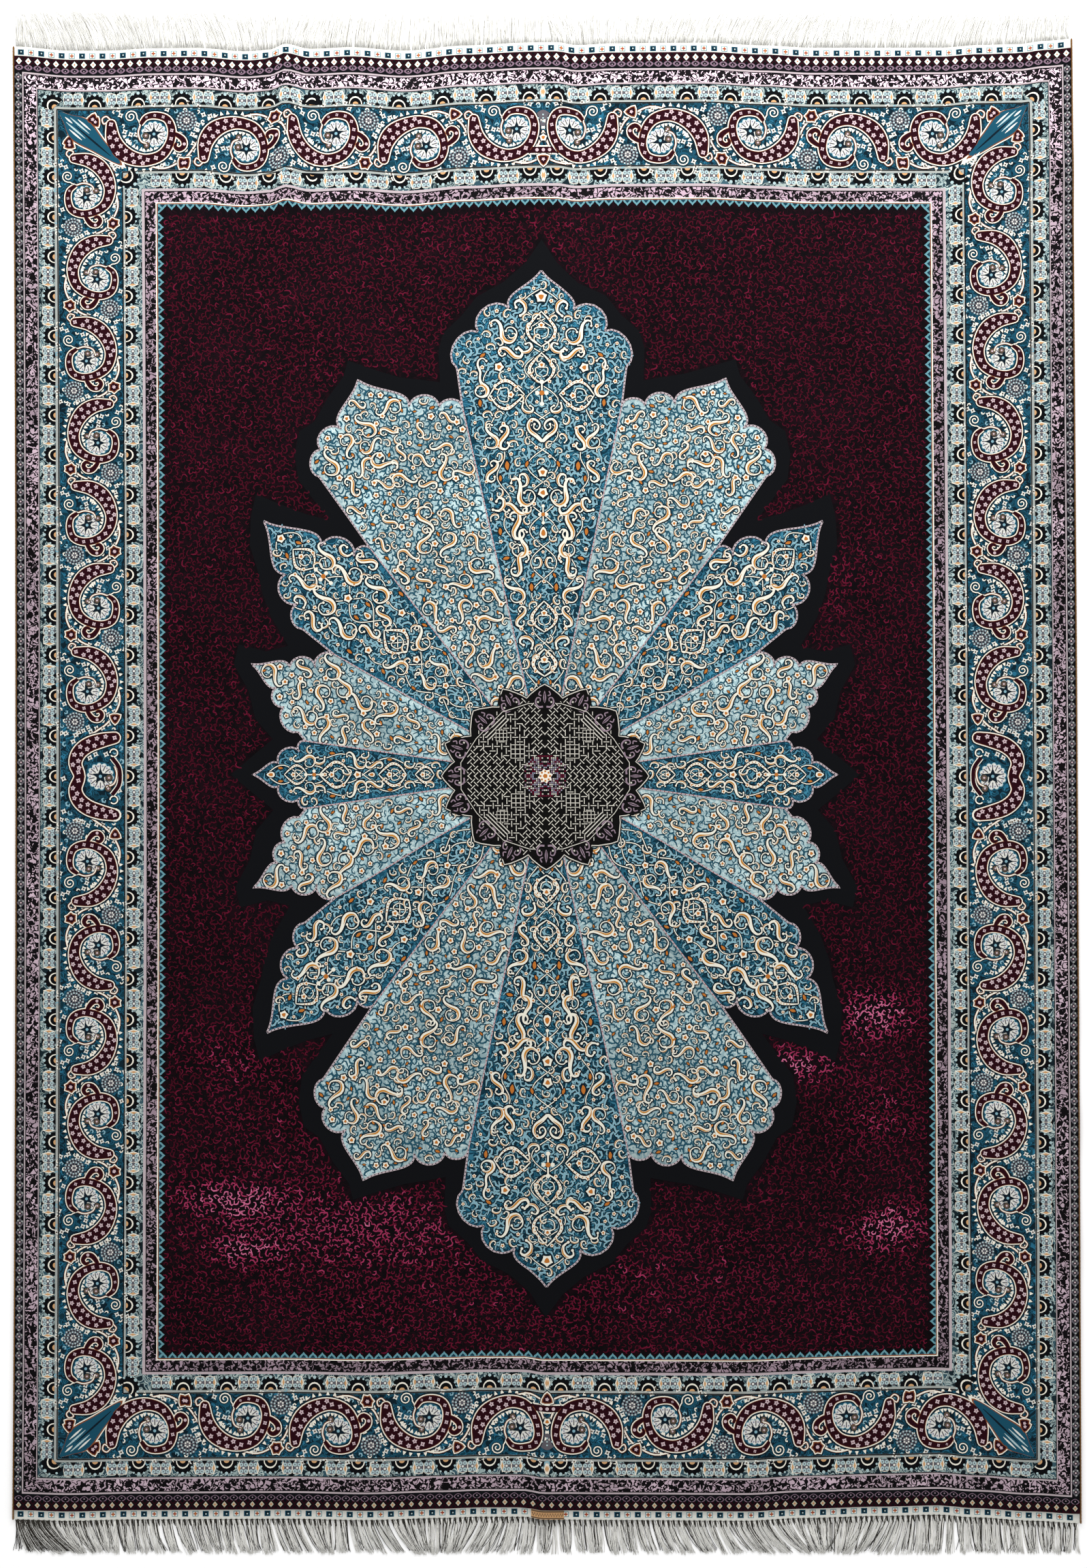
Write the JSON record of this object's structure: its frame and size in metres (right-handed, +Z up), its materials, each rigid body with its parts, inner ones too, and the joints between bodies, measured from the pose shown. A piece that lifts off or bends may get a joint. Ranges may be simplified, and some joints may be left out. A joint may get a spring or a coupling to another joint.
{
  "type": "chinese silk rug",
  "caption": "Knotted silk rug lying flat, with a petalled medallion, flower borders, flat-woven end strips, combed fringes and tan bound sides.",
  "frame": {"origin": "on the surface that the rug lies on, under the middle of its outline", "axes": "+Y along the rug from its foot to its head, +X across it to the right, +Z up out of the pile"},
  "size_m": [1.5272, 2.208, 0.01],
  "materials": {
    "silk_pile": "low silk pile with a soft sheen",
    "head_warp": "combed white silk warps",
    "foot_warp": "combed off-white silk warps",
    "binding_silk": "tan silk overcasting"
  },
  "bodies": {
    "root": {"pile": "silk_pile", "head_fringe": "head_warp", "foot_fringe": "foot_warp", "left_binding": "binding_silk", "right_binding": "binding_silk"}
  },
  "joints": []
}
